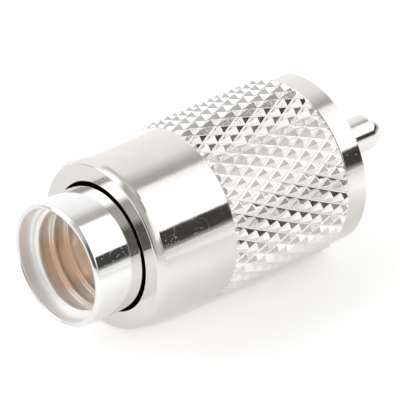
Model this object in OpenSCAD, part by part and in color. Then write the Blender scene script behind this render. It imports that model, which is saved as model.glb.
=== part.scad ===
// UHF cable plug: a turned plug body with an insulated hollow pin, inside a knurled coupling nut.
// The connector's axis is X. The tail for the cable is at -X and the pin points to +X.
// The origin is on the axis, in the plane of the plug's front rim.

/* [Coupling nut] */
// Wall of the plain collar and the front band outside the thread's roots
nut_wall = 1.065; // [0.9:0.005:2.5]
// Length of the nut from its rear face to its front face
nut_l = 27.2; // [24:0.1:32]
// Length of the plain collar behind the knurl
collar_l = 10; // [6:0.1:13]
// Length of the plain band in front of the knurl
front_band_l = 2.4; // [1.5:0.1:5]
// How far the nut's front face stands past the plug's front rim
nut_lead = 1.5; // [0.5:0.1:8]
// How far the nut can slide forward before its shoulder meets the flange
nut_travel = 6.9; // [3:0.1:9]
// Gap between the plug body and the nut's rear bore, on the radius
nut_play = 0.3; // [0.2:0.05:0.6]
// Length of the bevel round the rear end of the nut
bevel_l = 0.65; // [0.3:0.05:1]
// Depth of that bevel
bevel_depth = 0.36; // [0.2:0.02:0.6]

/* [Knurl] */
// Number of diamonds round the nut
knurl_starts = 40; // [30:1:60]
// Angle of the grooves to the nut's axis
knurl_angle = 27.8; // [22:0.1:45]
// Height of the points over the plain collar
knurl_rise = 0.4; // [0.25:0.05:0.6]
// Depth of the grooves below the points
knurl_depth = 0.475; // [0.3:0.025:0.7]
// Length of the slope at each end of the knurl
knurl_slope_l = 0.35; // [0.2:0.05:0.8]

/* [Coupling thread] */
// Diameter inside the thread's crests
thread_minor_d = 14.73; // [14.2:0.01:15.2]
// Depth of the thread, on the radius
thread_depth = 0.57; // [0.4:0.01:0.7]
// Width of the relief groove at the bottom of the thread
relief_l = 1.6; // [1:0.1:2.5]

/* [Plug body] */
// How far the tail stands out behind the nut
tail_out = 5.8; // [3:0.1:12]
// Diameter inside the crests of the cable grip
cable_bore_d = 10.4; // [9.6:0.1:10.8]
// Wall of the tail round the cable
tail_wall = 1.35; // [0.9:0.05:1.6]
// Width of the counterbore step inside the tail's mouth
mouth_step = 0.75; // [0.3:0.05:0.75]
// Depth of that counterbore
mouth_l = 1.7; // [0.8:0.1:3]
// Size of the bevel round the tail's rim
rim_bevel = 0.3; // [0.1:0.05:0.5]
// Bore for the cable's braid
braid_bore_d = 8.4; // [7.6:0.1:9.2]
// Wall of the waist round the braid
waist_wall = 1.4; // [1:0.1:1.6]
// Diameter of the solder holes
solder_hole_d = 3.5; // [2.5:0.1:4.5]
// Number of solder holes
solder_holes = 4; // [2:1:6]
// Width of the waist beside the solder holes
waist_land = 2; // [1:0.1:3]
// Length of the front skirt
skirt_l = 3.4; // [2.6:0.1:5]
// Wall of the front skirt
skirt_wall = 0.8; // [0.5:0.05:0.9]
// Length of the flange that the nut pulls on
flange_l = 2; // [1.2:0.1:3]
// Gap between the flange and the thread's crests, on the radius
flange_play = 0.15; // [0.1:0.05:0.3]
// Number of locating teeth on the flange
teeth = 4; // [2:2:8]
// Width of a locating tooth
tooth_w = 1.6; // [1:0.1:2.5]
// Height of a locating tooth
tooth_h = 0.9; // [0.5:0.1:1.5]

/* [Insulator] */
// Outside diameter of the insulator
insulator_d = 10.8; // [10:0.1:11.2]
// Length of the insulator
insulator_l = 6.6; // [4:0.1:9]
// How far the insulator's face lies behind the plug's front rim
insulator_recess = 2.4; // [1:0.1:3.2]
// Body wall behind the insulator's seat
seat_wall = 0.9; // [0.6:0.1:2]

/* [Center pin] */
// Diameter of the pin
pin_d = 3.96; // [3.9:0.01:4.1]
// Bore for the cable's center conductor
pin_bore_d = 2.4; // [1.6:0.1:2.8]
// How far the pin stands past the plug's front rim
pin_out = 10; // [6:0.1:14]
// Length of the taper at the pin's tip
tip_l = 0.72; // [0.3:0.02:1.2]
// Wall left at the pin's tip
tip_wall = 0.5; // [0.2:0.05:0.7]
// Width of the step from the pin to its shank in the insulator
pin_shank_w = 0.4; // [0.2:0.05:0.8]
// Width of the step from the shank to the flange behind the insulator
pin_flange_w = 0.9; // [0.5:0.1:1.2]
// Length of that flange
pin_flange_l = 1; // [0.6:0.1:1.5]
// Length of the pin behind its flange
pin_tail_l = 1.5; // [0.5:0.1:3]

/* [Hidden] */
$fn = 96;

// Small break on edges that a hand touches, and room for a cut to pass through a face
edge = 0.15;
over = 0.1;
// Turn of the knurl on the nut, in half diamonds
knurl_turn = 0.4;

nickel = "#cdc9c1";
pale_plastic = "#f1eee6";

// Radii
tail_r = cable_bore_d / 2 + tail_wall;
mouth_r = cable_bore_d / 2 + min(mouth_step, tail_wall - rim_bevel - 2 * edge);
skirt_r = insulator_d / 2 + skirt_wall;
neck_r = max(tail_r, skirt_r);
waist_r = braid_bore_d / 2 + waist_wall;
flange_r = thread_minor_d / 2 - flange_play;
nut_bore_r = neck_r + nut_play;
relief_r = thread_minor_d / 2 + thread_depth;
nut_r = relief_r + nut_wall;
shank_r = pin_d / 2 + pin_shank_w;
crest_r = nut_r + knurl_rise;
root_r = crest_r - knurl_depth;

// Stations along the axis, from the front rim back to the tail's mouth
insulator_front = -insulator_recess;
insulator_rear = insulator_front - insulator_l;
flange_front = -skirt_l;
flange_rear = flange_front - flange_l;
neck_rear = min(insulator_rear - seat_wall, flange_rear - seat_wall);
waist_rear = neck_rear - solder_hole_d - 2 * waist_land;
cable_bore_front = waist_rear - seat_wall;
nut_front = nut_lead;
nut_rear = nut_front - nut_l;
knurl_rear = nut_rear + collar_l;
knurl_front = nut_front - front_band_l;
mouth = nut_rear - tail_out;
nut_shoulder = flange_rear - nut_travel;

// Turns a profile of [radius, station] points about the connector's axis
module turned() {
    rotate([0, 90, 0]) rotate_extrude() children();
}

module plug_body() {
    color(nickel) difference() {
        union() {
            turned() body_section();
            locating_teeth();
        }
        solder_hole_cuts();
    }
}

// Half section of the plug body: outside from the tail to the skirt, then back along the bores
module body_section() {
    bore_step = cable_bore_d / 2 - braid_bore_d / 2;
    polygon([
        [mouth_r + edge, mouth],
        [tail_r - rim_bevel, mouth],
        [tail_r, mouth + rim_bevel],
        [tail_r, waist_rear - edge],
        [tail_r - edge, waist_rear],
        [waist_r, waist_rear],
        [waist_r, neck_rear],
        [neck_r - edge, neck_rear],
        [neck_r, neck_rear + edge],
        [neck_r, flange_rear],
        [flange_r, flange_rear],
        [flange_r, flange_front - edge],
        [flange_r - edge, flange_front],
        [skirt_r, flange_front],
        [skirt_r, -2 * edge],
        [skirt_r - edge, 0],
        [insulator_d / 2, 0],
        [insulator_d / 2, insulator_rear],
        [braid_bore_d / 2, insulator_rear],
        [braid_bore_d / 2, cable_bore_front],
        [cable_bore_d / 2, cable_bore_front - bore_step],
        [cable_bore_d / 2, mouth + mouth_l],
        [mouth_r, mouth + mouth_l],
        [mouth_r, mouth + edge],
    ]);
}

// Teeth on the flange's face that stop the plug turning in its socket
module locating_teeth() {
    intersection() {
        translate([flange_front - over, 0, 0]) rotate([0, 90, 0]) difference() {
            cylinder(r = flange_r - edge, h = tooth_h + over);
            translate([0, 0, -over]) cylinder(r = skirt_r - over, h = tooth_h + 3 * over);
        }
        for (i = [0 : teeth - 1]) rotate([i * 360 / teeth, 0, 0])
            translate([flange_front - over, -tooth_w / 2, 0]) cube([tooth_h + over, tooth_w, flange_r]);
    }
}

module solder_hole_cuts() {
    station = (neck_rear + waist_rear) / 2;
    for (i = [0 : solder_holes - 1]) rotate([i * 360 / solder_holes, 0, 0])
        translate([station, 0, 0]) cylinder(d = solder_hole_d, h = waist_r + over);
}

module insulator() {
    color(pale_plastic) turned() polygon([
        [shank_r, insulator_rear],
        [insulator_d / 2, insulator_rear],
        [insulator_d / 2, insulator_front - edge],
        [insulator_d / 2 - edge, insulator_front],
        [shank_r, insulator_front],
    ]);
}

module center_pin() {
    flange_back = insulator_rear - pin_flange_l;
    tail_end = flange_back - pin_tail_l;
    bore_r = pin_bore_d / 2;
    pin_r = pin_d / 2;
    color(nickel) turned() polygon([
        [pin_r - edge, tail_end],
        [pin_r, tail_end + edge],
        [pin_r, flange_back],
        [shank_r + pin_flange_w, flange_back],
        [shank_r + pin_flange_w, insulator_rear],
        [shank_r, insulator_rear],
        [shank_r, insulator_front],
        [pin_r, insulator_front],
        [pin_r, pin_out - tip_l],
        [bore_r + tip_wall, pin_out],
        [bore_r, pin_out],
        [bore_r, tail_end + edge],
        [bore_r + edge, tail_end],
    ]);
}

module coupling_nut() {
    color(nickel) difference() {
        union() {
            turned() nut_blank();
            knurl();
        }
        turned() nut_bores();
    }
}

// Outside of the nut as turned, thinner where the knurl is rolled on
module nut_blank() {
    polygon([
        [0, nut_rear],
        [nut_r - bevel_depth, nut_rear],
        [nut_r, nut_rear + bevel_l],
        [nut_r, knurl_rear],
        [root_r - over, knurl_rear],
        [root_r - over, knurl_front],
        [nut_r, knurl_front],
        [nut_r, nut_front - edge],
        [nut_r - edge, nut_front],
        [0, nut_front],
    ]);
}

// Rear bore, shoulder, thread relief and thread of the nut, with a lead-in at each mouth
module nut_bores() {
    thread_r = thread_minor_d / 2;
    polygon([
        [0, nut_rear - over],
        [nut_bore_r + edge, nut_rear - over],
        [nut_bore_r + edge, nut_rear],
        [nut_bore_r, nut_rear + edge],
        [nut_bore_r, nut_shoulder],
        [relief_r, nut_shoulder],
        [relief_r, nut_shoulder + relief_l],
        [thread_r, nut_shoulder + relief_l],
        [thread_r, nut_front - thread_depth],
        [thread_r + thread_depth, nut_front],
        [thread_r + thread_depth, nut_front + over],
        [0, nut_front + over],
    ]);
}

// Diamond knurl, sloped off at both ends where it meets the plain bands
module knurl() {
    end_r = nut_r - over;
    intersection() {
        knurl_points();
        turned() polygon([
            [0, knurl_rear - over],
            [end_r, knurl_rear - over],
            [end_r, knurl_rear],
            [crest_r + over, knurl_rear + knurl_slope_l],
            [crest_r + over, knurl_front - knurl_slope_l],
            [end_r, knurl_front],
            [end_r, knurl_front + over],
            [0, knurl_front + over],
        ]);
    }
}

// Rings of points where roots and crests alternate along and round the nut.
// Each crest is the top of a four-sided pyramid, and the grooves run through the roots.
module knurl_points() {
    sides = 2 * knurl_starts;
    row_l = PI * crest_r / knurl_starts / tan(knurl_angle);
    last = ceil((knurl_front - knurl_rear + 3 * over) / row_l);

    function ring(k) = [
        for (j = [0 : sides - 1])
            let (r = (k + j) % 2 == 0 ? root_r : crest_r, turn = (j + knurl_turn) * 360 / sides)
            [knurl_rear - 2 * over + k * row_l, r * cos(turn), r * sin(turn)]
    ];
    function at(k, j) = k * sides + j % sides;
    function cell(k, j) = (k + j) % 2 == 0
        ? [[at(k, j), at(k + 1, j + 1), at(k, j + 1)], [at(k, j), at(k + 1, j), at(k + 1, j + 1)]]
        : [[at(k, j), at(k + 1, j), at(k, j + 1)], [at(k, j + 1), at(k + 1, j), at(k + 1, j + 1)]];
    polyhedron([for (k = [0 : last]) each ring(k)], concat(
        [for (k = [0 : last - 1], j = [0 : sides - 1]) each cell(k, j)],
        [[for (j = [0 : sides - 1]) at(0, j)]],
        [[for (j = [sides - 1 : -1 : 0]) at(last, j)]]
    ));
}

plug_body();
insulator();
center_pin();
coupling_nut();
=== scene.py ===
import math

import bmesh
import bpy
from mathutils import Matrix, Vector


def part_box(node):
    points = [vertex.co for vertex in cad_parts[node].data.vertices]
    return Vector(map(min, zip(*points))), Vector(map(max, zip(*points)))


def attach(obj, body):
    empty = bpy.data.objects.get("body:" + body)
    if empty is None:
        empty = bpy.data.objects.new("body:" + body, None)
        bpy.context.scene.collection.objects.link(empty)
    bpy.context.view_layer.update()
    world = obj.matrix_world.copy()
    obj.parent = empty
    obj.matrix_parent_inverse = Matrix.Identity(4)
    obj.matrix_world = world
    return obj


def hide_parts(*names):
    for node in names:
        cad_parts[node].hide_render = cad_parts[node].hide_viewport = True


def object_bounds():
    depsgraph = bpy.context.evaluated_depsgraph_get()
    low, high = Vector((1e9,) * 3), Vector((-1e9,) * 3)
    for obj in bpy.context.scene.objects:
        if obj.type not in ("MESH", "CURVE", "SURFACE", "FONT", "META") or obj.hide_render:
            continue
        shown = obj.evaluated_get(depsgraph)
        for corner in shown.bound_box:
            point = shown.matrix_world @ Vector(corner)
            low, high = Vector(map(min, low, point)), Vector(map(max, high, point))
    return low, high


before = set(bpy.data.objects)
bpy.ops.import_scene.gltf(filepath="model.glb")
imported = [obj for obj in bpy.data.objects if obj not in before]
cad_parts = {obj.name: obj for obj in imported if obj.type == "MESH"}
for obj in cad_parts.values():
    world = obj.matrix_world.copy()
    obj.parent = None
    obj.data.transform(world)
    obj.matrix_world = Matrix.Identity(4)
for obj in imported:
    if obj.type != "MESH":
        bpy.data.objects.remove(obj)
cad_low, cad_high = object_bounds()

# Sizes are in metres. The connector's axis is X, and its pin points to +X.
MM = 0.001
AXIS = (1, 0, 0)
CENTER = (0, 0, 0)

# How the turned pieces are meshed
STEPS = 200                       # faces round the axis
CORNER_SEGMENTS = 3
HOLD = 0.04 * MM                  # from a corner to the point that holds its shading
SEAM = 0.02 * MM                  # between two open loops that are bridged
SAME_STATION = 0.005 * MM
MERGE = 0.002 * MM
LAST_MERGE = 0.001 * MM
CUT_MERGE = 0.0001 * MM
TURNED_SHARP = math.radians(35)
KNURL_SHARP = math.radians(25)

# Corners, from a hair's breadth to a broken edge
hair_corner = 0.02 * MM
band_corner = 0.03 * MM
crisp_corner = 0.05 * MM
eased_corner = 0.06 * MM
soft_corner = 0.08 * MM
round_corner = 0.1 * MM
break_edge = 0.15 * MM

body_low, body_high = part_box("plug_body")
insulator_low, insulator_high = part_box("insulator")
pin_low, pin_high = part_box("center_pin")
nut_low, nut_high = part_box("coupling_nut")

# Coupling nut
nut_rear, nut_front = nut_low.x, nut_high.x
nut_edge = 0.05 * MM
collar_r = 9 * MM
bevel_l = 0.65 * MM
bevel_depth = 0.36 * MM
bevel_inner_corner = 0.12 * MM
bevel_outer_corner = 0.36 * MM
band_step = 0.06 * MM
band_foot_r = collar_r - 0.05 * MM
nut_bore_r = 6.85 * MM

# Knurl
crest_r = collar_r + 0.4 * MM
root_r = crest_r - 0.475 * MM
knurl_rear = nut_rear + 10 * MM
knurl_front = nut_front - 2.4 * MM
knurl_lead = 0.2 * MM
knurl_slope = 0.26 * MM
slope_foot_r = collar_r - 0.04 * MM
knurl_starts = 40
knurl_pitch = math.tau * crest_r / knurl_starts
knurl_row = knurl_pitch / 2 / math.tan(math.radians(27.8))
knurl_turn = math.radians(1.8)
knurl_ridge = 0.02 * MM

# Coupling thread
thread_minor_r = 7.365 * MM
thread_major_r = 7.935 * MM
thread_root_r = thread_major_r - 0.02 * MM
thread_root_corner = 0.04 * MM
thread_pitch = 25.4 / 24 * MM
thread_lead_in = 0.55 * MM
relief_l = 1.6 * MM

# Plug body
mouth = body_low.x
mouth_r = 5.95 * MM
mouth_l = 1.7 * MM
mouth_step = mouth + mouth_l
mouth_corner = 0.2 * MM
satin_end = mouth_step + 0.9 * MM
rim_bevel = 0.3 * MM
tail_r = 6.55 * MM
flange_r = body_high.z
flange_front = -3.4 * MM
flange_rear = flange_front - 2 * MM
nut_shoulder = flange_rear - 6.9 * MM
skirt_r = 6.2 * MM
neck_rear = -9.9 * MM
waist_r = 5.6 * MM
waist_rear = -17.4 * MM
braid_r = 4.2 * MM
braid_rear = -18.3 * MM
grip_crest_r = 5.2 * MM
grip_root_r = 5.6 * MM
grip_pitch = 1.88 * MM
grip_ridge = 0.62 * MM
grip_flank = 0.16 * MM
grip_front = braid_rear - 1 * MM
grip_cone = 0.12 * MM
grip_ledge = 0.04 * MM
solder_holes = 4
solder_hole_r = 1.75 * MM
teeth = 4
tooth_h = 0.9 * MM
tooth_w = 1.6 * MM

# Insulator and pin
seat_r = insulator_high.z
shank_r = 2.38 * MM
pin_r = 1.98 * MM
pin_bore_r = 1.2 * MM
pin_flange_r = pin_high.z
pin_flange_l = 1 * MM
pin_tip_l = 0.72 * MM
pin_tip_wall = 0.5 * MM
pin_tip_corner = 0.11 * MM
pin_shoulder_corner = 0.3 * MM

# Where each finish sits on its piece
facet_slot, groove_slot = 1, 2
grip_slot, satin_slot = 1, 2


def everything(bm):
    return bm.verts[:] + bm.edges[:] + bm.faces[:]


def verts_of(geom):
    return [part for part in geom if isinstance(part, bmesh.types.BMVert)]


def as_mesh(name, bm):
    mesh = bpy.data.meshes.new(name)
    bm.to_mesh(mesh)
    bm.free()
    return mesh


def as_object(name, data):
    made = bpy.data.objects.new(name, data)
    bpy.context.scene.collection.objects.link(made)
    return made


def join_into(bm, other):
    """The other bmesh, put into bm. Returns its faces there."""
    mesh = as_mesh("joined", other)
    before = len(bm.faces)
    bm.from_mesh(mesh)
    bpy.data.meshes.remove(mesh)
    bm.faces.ensure_lookup_table()
    return bm.faces[before:]


def bevel(bm, geom, size, segments, affect):
    bmesh.ops.bevel(
        bm, geom=geom, offset=size, offset_type="OFFSET", segments=segments, profile=0.5,
        affect=affect, material=-1, clamp_overlap=True,
    )


def outline(bm, points):
    """Edges through (station, radius, corner) points, each corner rounded, with holding points beside it."""
    verts = [bm.verts.new((station, 0, radius)) for station, radius, _ in points]
    for pair in zip(verts, verts[1:]):
        bm.edges.new(pair)
    for vert, (_, _, corner) in zip(verts, points):
        if corner:
            bevel(bm, [vert], corner, CORNER_SEGMENTS, "VERTICES")
    for edge in [e for e in bm.edges if e.calc_length() > 5 * HOLD]:
        ends = [v.co.copy() for v in edge.verts]
        for vert in verts_of(bmesh.ops.subdivide_edges(bm, edges=[edge], cuts=2)["geom_inner"]):
            near, far = sorted(ends, key=lambda end: (end - vert.co).length)
            vert.co = near + (far - near).normalized() * HOLD


def spin(bm, lead, closed):
    """The outline in bm, turned once round the axis and moved along it by the lead."""
    bmesh.ops.spin(
        bm, geom=bm.verts[:] + bm.edges[:], cent=CENTER, axis=AXIS, dvec=(lead / STEPS, 0, 0), angle=math.tau,
        steps=STEPS, use_merge=closed, use_normal_flip=False, use_duplicate=False,
    )


def shade_smooth(bm):
    for face in bm.faces:
        face.smooth = True


def turned(*outlines):
    """A new bmesh with these outlines, turned round the connector's axis."""
    bm = bmesh.new()
    for points in outlines:
        outline(bm, points)
    spin(bm, 0, True)
    shade_smooth(bm)
    return bm


def copied(bm, geom, copies, turn, step):
    """Geometry repeated so many times, turned about the axis and moved along it each time. Returns all of it."""
    whole = list(geom)
    for copy in range(1, copies):
        made = bmesh.ops.duplicate(bm, geom=geom)["geom"]
        verts = verts_of(made)
        bmesh.ops.rotate(bm, verts=verts, cent=CENTER, matrix=Matrix.Rotation(copy * turn, 3, "X"))
        bmesh.ops.translate(bm, verts=verts, vec=(copy * step, 0, 0))
        whole += made
    return whole


def cut_off(bm, station, keep):
    """Cuts bm square at a station, and keeps what is in front of it (1) or behind it (-1)."""
    bmesh.ops.bisect_plane(
        bm, geom=everything(bm), dist=CUT_MERGE, plane_co=(station, 0, 0), plane_no=(-keep, 0, 0),
        clear_outer=True, clear_inner=False,
    )


def cut_thread(bm, points, pitch, start, end):
    """A screw thread from one pitch of its outline, cut off square at both ends. Returns its faces."""
    thread = bmesh.new()
    outline(thread, points)
    bmesh.ops.translate(thread, verts=thread.verts, vec=(start - pitch, 0, 0))
    spin(thread, pitch, False)
    copied(thread, everything(thread), math.ceil((end - start) / pitch) + 2, 0, pitch)
    bmesh.ops.remove_doubles(thread, verts=thread.verts, dist=MERGE)
    cut_off(thread, start, 1)
    cut_off(thread, end, -1)
    shade_smooth(thread)
    return set(join_into(bm, thread))


def open_loop(bm, station, faces=None):
    """Open edges in the plane of a station, of these faces if they are given."""
    return [
        e for e in bm.edges
        if e.is_boundary and all(abs(v.co.x - station) < SAME_STATION for v in e.verts)
        and (faces is None or e.link_faces[0] in faces)
    ]


def finished_piece(name, bm, finishes, body, node, sharp=TURNED_SHARP):
    """The bmesh as a piece that rides on a body and stands for a CAD node."""
    bmesh.ops.remove_doubles(bm, verts=bm.verts, dist=LAST_MERGE)
    bmesh.ops.recalc_face_normals(bm, faces=bm.faces)
    if bm.calc_volume(signed=True) < 0:
        bmesh.ops.reverse_faces(bm, faces=bm.faces)
    for edge in bm.edges:
        edge.smooth = edge.is_manifold and edge.calc_face_angle() < sharp
    mesh = as_mesh(name, bm)
    for finish in finishes:
        mesh.materials.append(finish)
    piece = as_object(name, mesh)
    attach(piece, body)
    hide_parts(node)
    return piece


def knurl_diamond(lattice):
    """One pyramid of the knurl, with its share of the wide groove and of the narrow one that cross beside it."""
    # Share of each slope that the grooves leave: at the pyramid's foot and heel, between which the floor of the
    # wide groove leans, and beside the narrow groove
    foot, heel, narrow = 0.88, 0.79, 0.95
    middle = foot - (1 - foot) / (2 - foot - heel) * (foot - heel)
    depth = crest_r - root_r

    def corner(along, around, out):
        turn = Matrix.Rotation(knurl_turn + around * math.pi / knurl_starts, 3, "X")
        return lattice.verts.new(turn @ Vector((along * knurl_row, root_r + out * depth, 0)))

    def pair(near, far, out):
        return corner(near, far, out), corner(far, near, out)

    tip = corner(0, 0, 1)
    foot_x, foot_turn = pair(foot, 0, 1 - foot)
    heel_x, heel_turn = pair(-heel, 0, 1 - heel)
    wide_x, wide_turn = pair((1 + middle) / 2, (1 - middle) / 2, 1 - middle)
    back_turn, back_x = pair((middle - 1) / 2, (-1 - middle) / 2, 1 - middle)
    slot_x, slot_turn = pair((1 + narrow) / 2, (1 - narrow) / 2, 1 - narrow)
    rear_turn, rear_x = pair((narrow - 1) / 2, (-1 - narrow) / 2, 1 - narrow)
    right, up = pair(1, 0, 1 - narrow)
    left, down = pair(-1, 0, 1 - narrow)
    facets = (
        (tip, foot_x, foot_turn), (tip, heel_x, heel_turn),
        (tip, foot_x, wide_x, slot_x, rear_turn, back_turn, heel_turn),
        (tip, foot_turn, wide_turn, slot_turn, rear_x, back_x, heel_x),
    )
    groove_floors = (
        (foot_x, wide_x, wide_turn, foot_turn), (heel_x, back_x, back_turn, heel_turn),
        (slot_x, right, down, rear_turn), (slot_turn, up, left, rear_x),
    )
    for faces, slot in ((facets, facet_slot), (groove_floors, groove_slot)):
        for corners in faces:
            lattice.faces.new(corners).material_index = slot
    bmesh.ops.recalc_face_normals(lattice, faces=lattice.faces)
    bevel(lattice, list(tip.link_edges), knurl_ridge, 1, "EDGES")


def cut_knurl(bm):
    """Diamond knurl: one pyramid repeated round the nut and along it, cut off square and sloped down at both ends."""
    lattice = bmesh.new()
    knurl_diamond(lattice)
    half_turn = math.pi / knurl_starts
    rows = math.ceil((knurl_front - knurl_rear) / knurl_row) + 1
    ring = copied(lattice, everything(lattice), knurl_starts, 2 * half_turn, 0)
    copied(lattice, ring, rows, half_turn, knurl_row)
    bmesh.ops.translate(lattice, verts=lattice.verts, vec=(knurl_rear - knurl_lead, 0, 0))
    bmesh.ops.rotate(lattice, verts=lattice.verts, cent=CENTER, matrix=Matrix.Rotation(half_turn, 3, "X"))
    bmesh.ops.remove_doubles(lattice, verts=lattice.verts, dist=MERGE)
    for station, keep in ((knurl_rear + knurl_slope, 1), (knurl_front - knurl_slope, -1)):
        cut_off(lattice, station, keep)
        slope = bmesh.ops.extrude_edge_only(lattice, edges=open_loop(lattice, station))["geom"]
        for vert in verts_of(slope):
            vert.co.yz = vert.co.yz.normalized() * slope_foot_r
            vert.co.x = station - keep * (knurl_slope - SEAM)
    join_into(bm, lattice)
    for plain, cut in ((knurl_rear, knurl_rear + SEAM), (knurl_front, knurl_front - SEAM)):
        bmesh.ops.subdivide_edges(bm, edges=open_loop(bm, plain), cuts=1)
        bmesh.ops.bridge_loops(bm, edges=open_loop(bm, plain) + open_loop(bm, cut))


def make_coupling_nut():
    """Turned nut: front band, coupling thread, bore, bevelled collar and knurl."""
    front_band = [
        (knurl_front, band_foot_r, 0),
        (knurl_front + band_step, collar_r, band_corner),
        (nut_front - nut_edge, collar_r, hair_corner),
        (nut_front, collar_r - nut_edge, hair_corner),
        (nut_front, thread_major_r + band_corner, band_corner),
        (nut_front - band_step, thread_major_r - band_corner, 0),
    ]
    bore_and_collar = [
        (nut_shoulder + relief_l - SEAM, thread_major_r, 0),
        (nut_shoulder, thread_major_r, round_corner),
        (nut_shoulder, nut_bore_r, eased_corner),
        (nut_rear, nut_bore_r, eased_corner),
        (nut_rear, collar_r - bevel_depth, bevel_inner_corner),
        (nut_rear + bevel_l, collar_r, bevel_outer_corner),
        (knurl_rear - band_step, collar_r, band_corner),
        (knurl_rear, band_foot_r, 0),
    ]
    bm = turned(front_band, bore_and_collar)

    thread_start = nut_shoulder + relief_l
    thread_end = nut_front - thread_lead_in
    half_crest, half_root = thread_pitch / 8, thread_pitch / 16
    thread = cut_thread(bm, [
        (0, thread_minor_r, 0),
        (half_crest, thread_minor_r, crisp_corner),
        (thread_pitch / 2 - half_root, thread_root_r, thread_root_corner),
        (thread_pitch / 2 + half_root, thread_root_r, thread_root_corner),
        (thread_pitch - half_crest, thread_minor_r, crisp_corner),
        (thread_pitch, thread_minor_r, 0),
    ], thread_pitch, thread_start, thread_end)
    relief_edge = open_loop(bm, thread_start - SEAM)
    front_edge = open_loop(bm, nut_front - band_step)
    bmesh.ops.bridge_loops(bm, edges=relief_edge + open_loop(bm, thread_start, thread))
    bmesh.ops.bridge_loops(bm, edges=front_edge + open_loop(bm, thread_end, thread))
    cut_knurl(bm)
    finishes = [nut_finish, knurl_finish, groove_finish]
    finished_piece("knurled_nut", bm, finishes, "nut", "coupling_nut", KNURL_SHARP)


def make_plug_body():
    """Turned body: bores, skirt, flange, neck, waist and tail, with the cable grip thread in its mouth."""
    bm = turned([
        (grip_front + grip_cone, grip_crest_r - grip_cone, 0),
        (braid_rear, braid_r, crisp_corner),
        (insulator_low.x, braid_r, crisp_corner),
        (insulator_low.x, seat_r, crisp_corner),
        (0, seat_r, soft_corner),
        (0, skirt_r - break_edge, eased_corner),
        (-2 * break_edge, skirt_r, eased_corner),
        (flange_front, skirt_r, 0),
        (flange_front, flange_r - break_edge, crisp_corner),
        (flange_front - break_edge, flange_r, crisp_corner),
        (flange_rear, flange_r, soft_corner),
        (flange_rear, tail_r, soft_corner),
        (neck_rear + break_edge, tail_r, crisp_corner),
        (neck_rear, tail_r - break_edge, crisp_corner),
        (neck_rear, waist_r, round_corner),
        (waist_rear, waist_r, round_corner),
        (waist_rear, tail_r - break_edge, crisp_corner),
        (waist_rear - break_edge, tail_r, crisp_corner),
        (mouth + rim_bevel, tail_r, round_corner),
        (mouth, tail_r - rim_bevel, round_corner),
        (mouth, mouth_r, mouth_corner),
        (mouth_step, mouth_r, soft_corner),
        (mouth_step, grip_root_r + grip_ledge, 0),
    ])
    grip_start = mouth_step + SEAM
    ridge_start = (grip_pitch - grip_ridge) / 2
    ridge_end = ridge_start + grip_ridge
    grip = cut_thread(bm, [
        (0, grip_root_r, 0),
        (ridge_start, grip_root_r, eased_corner),
        (ridge_start + grip_flank, grip_crest_r, eased_corner),
        (ridge_end - grip_flank, grip_crest_r, eased_corner),
        (ridge_end, grip_root_r, eased_corner),
        (grip_pitch, grip_root_r, 0),
    ], grip_pitch, grip_start, grip_front)
    bmesh.ops.bridge_loops(bm, edges=open_loop(bm, mouth_step) + open_loop(bm, grip_start, grip))
    bmesh.ops.bridge_loops(bm, edges=open_loop(bm, grip_front + grip_cone) + open_loop(bm, grip_front, grip))
    raise_locating_teeth(bm)
    choose_bore_finishes(bm)
    finishes = [body_finish, grip_finish, mouth_finish]
    body = finished_piece("cable_body", bm, finishes, "plug", "plug_body")
    drill_solder_holes(body)


def raise_locating_teeth(bm):
    """Teeth that stand on the flange's front face."""
    half_turn = math.asin(tooth_w / 2 / skirt_r)
    for tooth in range(teeth):
        bearing = tooth * math.tau / teeth
        seat = []
        for face in bm.faces:
            middle = face.calc_center_median()
            on_flange = abs(middle.x - flange_front) < SAME_STATION and abs(face.normal.x) > 0.9
            off = math.remainder(math.atan2(middle.z, middle.y) - bearing, math.tau)
            if on_flange and middle.yz.length > skirt_r and abs(off) < half_turn:
                seat.append(face)
        raised = bmesh.ops.extrude_face_region(bm, geom=seat)["geom"]
        bmesh.ops.delete(bm, geom=seat, context="FACES_ONLY")
        bmesh.ops.translate(bm, verts=verts_of(raised), vec=(tooth_h, 0, 0))


def choose_bore_finishes(bm):
    """Satin in the mouth, and warm plate with a painted warm reflection on the grip thread. They meet at one station.
    """
    bmesh.ops.bisect_plane(
        bm, geom=everything(bm), dist=LAST_MERGE, plane_co=(satin_end, 0, 0), plane_no=AXIS,
    )
    bore_end, bore_limit_r = grip_front + grip_cone, mouth_r + 0.02 * MM
    for face in bm.faces:
        middle = face.calc_center_median()
        if middle.x < bore_end and middle.yz.length < bore_limit_r:
            face.material_index = grip_slot if middle.x > satin_end else satin_slot


def drill_solder_holes(body):
    """Solder holes through the waist, into the braid bore."""
    bm = bmesh.new()
    station = (neck_rear + waist_rear) / 2
    inside, outside = 2.5 * MM, waist_r + 0.4 * MM
    for hole in range(solder_holes):
        turn = Matrix.Rotation(hole * math.tau / solder_holes, 4, "X")
        bmesh.ops.create_cone(
            bm, cap_ends=True, segments=48, radius1=solder_hole_r, radius2=solder_hole_r, depth=outside - inside,
            matrix=turn @ Matrix.Translation((station, 0, (inside + outside) / 2)),
        )
    drill = as_object("solder_hole_drill", as_mesh("solder_hole_drill", bm))
    cut = body.modifiers.new("solder_holes", "BOOLEAN")
    cut.operation = "DIFFERENCE"
    cut.object = drill
    drilled = bpy.data.meshes.new_from_object(body.evaluated_get(bpy.context.evaluated_depsgraph_get()))
    body.modifiers.remove(cut)
    drill_mesh, plain = drill.data, body.data
    body.data = drilled
    bpy.data.objects.remove(drill)
    bpy.data.meshes.remove(drill_mesh)
    bpy.data.meshes.remove(plain)
    drilled.name = body.name
    drilled.set_sharp_from_angle(angle=TURNED_SHARP)


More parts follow.
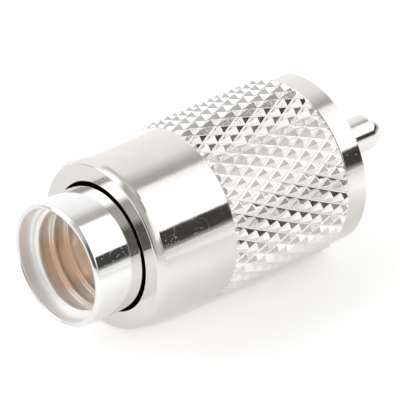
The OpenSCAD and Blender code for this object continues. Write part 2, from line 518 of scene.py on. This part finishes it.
def make_insulator():
    """Turned plastic bush with the pin's hole through it."""
    rear, front = insulator_low.x, insulator_high.x
    bm = turned([
        (rear, shank_r, 0),
        (rear, seat_r, round_corner),
        (front - break_edge, seat_r, crisp_corner),
        (front, seat_r - break_edge, crisp_corner),
        (front, shank_r, soft_corner),
        (rear + round_corner, shank_r, 0),
        (rear, shank_r, 0),
    ])
    finished_piece("pin_insulator", bm, [insulator_finish], "plug", "insulator")


def make_center_pin():
    """Turned hollow pin with a flange behind the insulator and an eased tip."""
    rear, tip = pin_low.x, pin_high.x
    flange_back = insulator_low.x - pin_flange_l
    bm = turned([
        (rear, pin_bore_r + break_edge, 0),
        (rear, pin_r - break_edge, crisp_corner),
        (rear + break_edge, pin_r, crisp_corner),
        (flange_back, pin_r, soft_corner),
        (flange_back, pin_flange_r, soft_corner),
        (insulator_low.x, pin_flange_r, soft_corner),
        (insulator_low.x, shank_r, crisp_corner),
        (insulator_high.x, shank_r, crisp_corner),
        (insulator_high.x, pin_r, crisp_corner),
        (tip - pin_tip_l, pin_r, pin_shoulder_corner),
        (tip, pin_bore_r + pin_tip_wall, pin_tip_corner),
        (tip, pin_bore_r, pin_tip_corner),
        (rear + break_edge, pin_bore_r, crisp_corner),
        (rear, pin_bore_r + break_edge, 0),
    ])
    finished_piece("hollow_pin", bm, [pin_finish], "plug", "center_pin")


def add_node(tree, kind, settings=None, **inputs):
    """A shader node. Each input is a value or another node's output; i0, i1 and so on name sockets by number."""
    made = tree.nodes.new("ShaderNode" + kind)
    for name, value in (settings or {}).items():
        setattr(made, name, value)
    for name, value in inputs.items():
        socket = made.inputs[int(name[1:]) if name[1:].isdigit() else name.replace("_", " ")]
        if isinstance(value, bpy.types.NodeSocket):
            tree.links.new(value, socket)
        else:
            socket.default_value = value
    return made


def calc(tree, operation, first, second=0.0):
    return add_node(tree, "Math", {"operation": operation}, i0=first, i1=second).outputs[0]


def plus(tree, total, *others):
    for other in others:
        total = calc(tree, "ADD", total, other)
    return total


def times(tree, total, *others):
    for other in others:
        total = calc(tree, "MULTIPLY", total, other)
    return total


def ramp(tree, value, start, end, low=0.0, high=1.0):
    """Low where the value is up to start, high from end on, and straight between them."""
    node = add_node(tree, "MapRange", Value=value, From_Min=start, From_Max=end, To_Min=low, To_Max=high)
    return node.outputs[0]


def mixed(tree, share, first, second):
    """Colors mixed: all of the first at a share of 0, all of the second at 1."""
    return add_node(tree, "Mix", {"data_type": "RGBA"}, Factor=share, i6=first, i7=second).outputs[2]


def tone(color, level=1.0):
    """A finish's color, darker or lighter, with its alpha."""
    return (*[min(1.0, channel * level) for channel in color], 1.0)


def noise(tree, place, scale, detail):
    return add_node(tree, "TexNoise", Vector=place, Scale=scale, Detail=detail).outputs[0]


def new_finish(name):
    """A new material, its tree, its shader and the piece's own coordinates in millimetres."""
    finish = bpy.data.materials.new(name)
    finish.use_nodes = True
    tree = finish.node_tree
    place = add_node(tree, "TexCoord").outputs["Object"]
    in_mm = add_node(tree, "VectorMath", {"operation": "SCALE"}, Vector=place, Scale=1 / MM).outputs[0]
    return finish, tree, tree.nodes["Principled BSDF"], in_mm


def set_surface(tree, shader, color, rough, height):
    """Links the color, the roughness and a height in millimetres to the shader."""
    relief = add_node(tree, "Bump", Height=height, Strength=1.0, Distance=MM)
    tree.links.new(color, shader.inputs["Base Color"])
    tree.links.new(rough, shader.inputs["Roughness"])
    tree.links.new(relief.outputs[0], shader.inputs["Normal"])


# Plate: heights are in millimetres, and scales are per millimetre
ring_scale, ring_detail, ring_roughness = 14.0, 3.0, 0.7
pebble_scale = 4.0
swell_scale, swell_height = 0.45, 0.004
speck_scale, speck_height, speck_rough = 3.4, 0.005, 0.08
scratch_scale, scratch_width, scratch_depth, scratch_rough = 0.5, 0.003, 0.0015, 0.15
scratch_patch_scale = 0.33


def plated_finish(name, color, roughness, turning=0.0, pebbles=0.0, worn=True, metal=1.0, painted_reflection=None):
    """Bright nickel plate with turning marks, a pebbled skin, a slow swell, and specks and hairlines where worn;
    where a warm colour is given, a painted warm reflection on the bore's lower half.
    """
    finish, tree, shader, in_mm = new_finish(name)
    swell = noise(tree, in_mm, swell_scale, 1.0)
    rough = ramp(tree, swell, 0.3, 0.7, roughness * 0.8, roughness * 1.25)
    heights = []
    if turning:
        rings = add_node(
            tree, "TexNoise", {"noise_dimensions": "1D"}, W=add_node(tree, "SeparateXYZ", Vector=in_mm).outputs["X"],
            Scale=ring_scale, Detail=ring_detail, Roughness=ring_roughness,
        )
        heights.append(times(tree, rings.outputs[0], turning))
    if pebbles:
        heights.append(times(tree, noise(tree, in_mm, pebble_scale, 2.0), pebbles))
    heights.append(times(tree, swell, swell_height))
    if worn:
        speck, hairline = wear(tree, in_mm, swell)
        heights.append(times(tree, speck, speck_height))
        heights.append(times(tree, hairline, -scratch_depth))
        rough = plus(tree, rough, times(tree, speck, speck_rough), times(tree, hairline, scratch_rough))
    hue = mixed(tree, swell, tone(color, 0.96), tone(color, 1.03))
    # A painted warm reflection, tinting the lower half of the bore but not its bottom
    if painted_reflection:
        hue = mixed(tree, painted_reflection_part(tree, in_mm), hue, tone(painted_reflection))
    set_surface(tree, shader, hue, rough, plus(tree, *heights))
    shader.inputs["Metallic"].default_value = metal
    return finish


def wear(tree, in_mm, swell):
    """Where the plate has specks, crowded on the swells, and where it has hairlines, in a few patches."""
    cells = add_node(tree, "TexVoronoi", Vector=in_mm, Scale=speck_scale)
    spot = ramp(tree, cells.outputs["Distance"], 0.08, 0.2, 1.0, 0.0)
    chance = add_node(tree, "SeparateColor", Color=cells.outputs["Color"]).outputs[0]
    chosen = calc(tree, "GREATER_THAN", chance, ramp(tree, swell, 0.4, 0.6, 0.95, 0.15))

    level = calc(tree, "SUBTRACT", noise(tree, in_mm, scratch_scale, 0.0), 0.5)
    line = ramp(tree, calc(tree, "ABSOLUTE", level), 0.0, scratch_width, 1.0, 0.0)
    patch = ramp(tree, noise(tree, in_mm, scratch_patch_scale, 0.0), 0.57, 0.64)
    return times(tree, spot, chosen), times(tree, line, patch)


def painted_reflection_part(tree, in_mm):
    """Where the bore gets its painted warm reflection: the lower half of the bore, but not its bottom."""
    height = add_node(tree, "SeparateXYZ", Vector=in_mm).outputs["Z"]
    full_below, none_above = -1.6, 0.2
    none_below, full_above = -5.4, -4.9
    fades_up = ramp(tree, height, full_below, none_above, 1.0, 0.0)
    return times(tree, fades_up, ramp(tree, height, none_below, full_above))


def plastic_finish(name, color):
    """Milky turned plastic with faint tool rings on its face."""
    finish, tree, shader, in_mm = new_finish(name)
    flat = add_node(tree, "VectorMath", {"operation": "MULTIPLY"}, i0=in_mm, i1=(0, 1, 1)).outputs[0]
    out = add_node(tree, "VectorMath", {"operation": "LENGTH"}, i0=flat).outputs["Value"]
    rings = add_node(tree, "TexNoise", {"noise_dimensions": "1D"}, W=out, Scale=9.0, Detail=2.0).outputs[0]
    cloud = noise(tree, in_mm, 0.7, 3.0)
    hue = mixed(tree, cloud, tone(color, 0.94), tone(color))
    set_surface(tree, shader, hue, ramp(tree, cloud, 0.0, 1.0, 0.42, 0.58), times(tree, rings, 0.004))
    return finish


nickel = (0.77, 0.745, 0.715)
knurl_nickel = (0.825, 0.806, 0.786)
groove_nickel = (0.98, 0.97, 0.95)
silver = (0.87, 0.87, 0.865)
mouth_plate = (0.97, 0.965, 0.955)
bore_plate = (0.99, 0.95, 0.9)
# Colour of the painted warm reflection in the bore
warm_painted_reflection = (0.98, 0.74, 0.55)
milk_white = (0.86, 0.85, 0.81)
nut_finish = plated_finish("nut_nickel_plate", nickel, 0.07, turning=0.0006, pebbles=0.0015)
knurl_finish = plated_finish("knurl_nickel_plate", knurl_nickel, 0.09, pebbles=0.012)
groove_finish = plated_finish("groove_satin_plate", groove_nickel, 0.4, pebbles=0.004, worn=False)
body_finish = plated_finish("body_bright_plate", silver, 0.06, turning=0.0005, pebbles=0.0012)
pin_finish = plated_finish("pin_nickel_plate", nickel, 0.08, turning=0.0008, pebbles=0.0005)
# The grip thread's plate carries a painted warm reflection on the bore's lower half
grip_finish = plated_finish(
    "grip_thread_warm_plate_painted_reflection", bore_plate, 0.18, turning=0.0004, worn=False, metal=0.55, painted_reflection=warm_painted_reflection,
)
mouth_finish = plated_finish("mouth_satin_plate", mouth_plate, 0.4, turning=0.0008, worn=False, metal=0.7)
insulator_finish = plastic_finish("insulator_plastic", milk_white)

make_coupling_nut()
make_plug_body()
make_insulator()
make_center_pin()

# Floor: its own color, and the light that it adds to the camera's view and to what the plate mirrors
floor_r = 3.0
floor_white = (0.9, 0.9, 0.9)
seen_glow = 0.32
mirrored_glow = 0.19
left_front_glow = 0.16
right_glow = 0.22
far_front_dim = 0.35


def make_floor():
    """White floor under the nut's knurl. It glows evenly to the camera, and in the plate's reflections it glows with
    painted light, more at the left front and on the right and less far in front.
    """
    bm = bmesh.new()
    bmesh.ops.create_circle(
        bm, cap_ends=True, segments=96, radius=floor_r, matrix=Matrix.Translation((0, 0, cad_low.z)),
    )
    mesh = as_mesh("floor", bm)
    finish = bpy.data.materials.new("floor_white")
    finish.use_nodes = True
    tree = finish.node_tree
    shader = tree.nodes["Principled BSDF"]
    shader.inputs["Base Color"].default_value = tone(floor_white)
    shader.inputs["Roughness"].default_value = 0.8
    shader.inputs["Specular IOR Level"].default_value = 0.0
    shader.inputs["Emission Color"].default_value = (1, 1, 1, 1)

    x, y, _ = add_node(tree, "SeparateXYZ", Vector=add_node(tree, "TexCoord").outputs["Object"]).outputs
    left_front = times(
        tree, ramp(tree, x, -12 * MM, 0.0, left_front_glow, 0.0), ramp(tree, y, -18 * MM, -6 * MM, 1.0, 0.0),
    )
    right = ramp(tree, x, 8 * MM, 16 * MM, 0.0, right_glow)
    far_front = ramp(tree, y, -130 * MM, -30 * MM, far_front_dim, 0.0)
    glow = plus(tree, calc(tree, "SUBTRACT", left_front, far_front), right, mirrored_glow)
    path = add_node(tree, "LightPath").outputs
    seen = times(tree, path["Is Camera Ray"], seen_glow)
    mirrored = times(tree, path["Is Glossy Ray"], calc(tree, "MAXIMUM", glow))
    tree.links.new(plus(tree, seen, mirrored), shader.inputs["Emission Strength"])
    mesh.materials.append(finish)
    floor = as_object("floor", mesh)


def make_light():
    """A pale room of soft panels: a large softbox at the right front over a dark doorway, and one overhead."""
    world = bpy.data.worlds.new("studio")
    bpy.context.scene.world = world
    world.use_nodes = True
    tree = world.node_tree
    toward = add_node(tree, "TexCoord").outputs["Generated"]
    x, y, z = add_node(tree, "SeparateXYZ", Vector=toward).outputs
    bearing = times(tree, calc(tree, "ARCTAN2", y, x), 180 / math.pi)
    across = calc(tree, "DIVIDE", x, z)
    depth = calc(tree, "DIVIDE", y, z)

    # A panel's edges are given as a limit, and how far it fades to each side
    def above(value, limit, fade):
        return ramp(tree, value, limit - fade, limit + fade)

    def below(value, limit, fade):
        return calc(tree, "SUBTRACT", 1.0, above(value, limit, fade))

    def all_of(*masks):
        return times(tree, *masks)

    # The room gets darker toward the front
    room = add_node(tree, "ValToRGB", Fac=ramp(tree, y, -1.0, 1.0))
    stops = [
        (-0.3, (0.40, 0.385, 0.37)), (0.11, (0.52, 0.50, 0.48)), (0.23, (0.73, 0.72, 0.71)),
        (0.36, (0.96, 0.96, 0.96)), (0.8, (1.1, 1.1, 1.1)),
    ]
    while len(room.color_ramp.elements) < len(stops):
        room.color_ramp.elements.new(0.99)
    for element, (place, color) in zip(room.color_ramp.elements, stops):
        element.position = (place + 1) / 2
        element.color = (*color, 1)
    light = room.outputs[0]

    left_wall = all_of(below(x, -0.3, 0.15), below(z, 0.6, 0.1))
    left_strip = all_of(below(x, -0.4, 0.08), above(y, 0.35, 0.1), above(z, 0.28, 0.06))
    left_curtain = all_of(below(x, -0.4, 0.06), above(y, 0.74, 0.04), below(z, 0.45, 0.06))
    left_front = all_of(below(x, -0.1, 0.1), below(y, -0.1, 0.1))
    camera_side = all_of(below(x, -0.48, 0.06), below(y, -0.3, 0.1), below(z, 0.66, 0.06))
    overhead_softbox = all_of(
        above(z, 0.6, 0.05), above(across, -0.95, 0.08), below(across, -0.05, 0.1),
        above(depth, 0.2, 0.12), below(depth, 0.78, 0.1),
    )
    ceiling = all_of(
        above(z, 0.72, 0.06), above(across, -0.05, 0.1), below(across, 0.42, 0.1), above(depth, -0.3, 0.15),
    )
    # The softbox's upper edge and the doorway's lintel both run at a slant
    slant = add_node(tree, "VectorMath", {"operation": "DOT_PRODUCT"}, i0=toward, i1=(0.675, -0.555, -0.484))
    lintel = calc(tree, "SUBTRACT", z, times(tree, bearing, 0.0018))
    softbox = all_of(above(slant.outputs["Value"], 0.0, 0.02), above(bearing, -101.0, 6.0))
    softbox_middle = all_of(softbox, above(bearing, -72.0, 8.0), below(bearing, -18.0, 12.0))
    right_wall = all_of(above(x, 0.64, 0.05), above(bearing, 5.0, 8.0), below(z, 0.6, 0.1))
    front_wall = all_of(below(z, 0.29, 0.04), below(bearing, -60.0, 6.0), above(bearing, -106.0, 8.0))
    doorway = all_of(below(lintel, 0.453, 0.014), below(bearing, -5.0, 8.0), above(bearing, -66.0, 6.0))
    sill = all_of(below(z, 0.14, 0.12), below(bearing, -5.0, 8.0), above(bearing, -40.0, 8.0))
    kerb = all_of(below(z, 0.03, 0.05), below(bearing, -35.0, 8.0), above(bearing, -66.0, 6.0))
    seen_by_camera = add_node(tree, "LightPath").outputs["Is Camera Ray"]
    for mask, color in (
        (left_wall, (1.0, 1.0, 1.0)),
        (left_strip, (1.8, 1.8, 1.8)),
        (left_curtain, (0.5, 0.49, 0.48)),
        (left_front, (0.55, 0.535, 0.52)),
        (camera_side, (0.12, 0.115, 0.11)),
        (overhead_softbox, (1.6, 1.6, 1.6)),
        (ceiling, (0.67, 0.67, 0.67)),
        (softbox, (1.18, 1.18, 1.18)),
        (softbox_middle, (1.5, 1.5, 1.5)),
        (right_wall, (1.56, 1.6, 1.65)),
        (front_wall, (0.66, 0.64, 0.62)),
        (doorway, (0.06, 0.056, 0.055)),
        (times(tree, sill, 0.75), (0.95, 0.94, 0.93)),
        (times(tree, kerb, 0.85), (0.7, 0.67, 0.65)),
        (seen_by_camera, (1.0, 1.0, 1.0)),
    ):
        light = mixed(tree, mask, light, (*color, 1))
    tree.links.new(light, tree.nodes["Background"].inputs["Color"])


def make_mouth_lamp():
    """A narrow lamp that shines into the tail's mouth. The plate doesn't mirror it."""
    data = bpy.data.lights.new("mouth_lamp", "SPOT")
    data.energy = 5.0
    data.spot_size = math.radians(3.4)
    data.spot_blend = 0.4
    data.shadow_soft_size = 15 * MM
    lamp = as_object("mouth_lamp", data)
    toward, distance = Vector((-0.80, -0.42, 0.43)).normalized(), 300 * MM
    turn = toward.to_track_quat("Z", "Y").to_matrix().to_4x4()
    lamp.matrix_world = Matrix.Translation(Vector((mouth, 0, 0)) + toward * distance) @ turn
    lamp.visible_glossy = False


def make_camera():
    """Long lens, looking down on the tail's mouth from the left."""
    azimuth, elevation = math.radians(-40.53), math.radians(30.53)
    distance = 592.9 * MM
    aim_right, aim_up = 9.776 * MM, 4.604 * MM
    right = Vector((math.cos(azimuth), math.sin(azimuth), 0))
    ahead = Vector((
        -math.sin(azimuth) * math.cos(elevation), math.cos(azimuth) * math.cos(elevation), -math.sin(elevation),
    ))
    up = right.cross(ahead)
    aim = Vector((nut_rear, 0, 0)) + right * aim_right + up * aim_up
    data = bpy.data.cameras.new("camera")
    data.lens = 540
    data.sensor_width = 36
    data.clip_start = 0.01
    data.clip_end = 20
    camera = as_object("camera", data)
    turn = Matrix((right, up, -ahead)).transposed().to_4x4()
    camera.matrix_world = Matrix.Translation(aim - ahead * distance) @ turn
    bpy.context.scene.camera = camera


make_floor()
make_light()
make_mouth_lamp()
make_camera()
bpy.context.scene.view_settings.view_transform = "Standard"
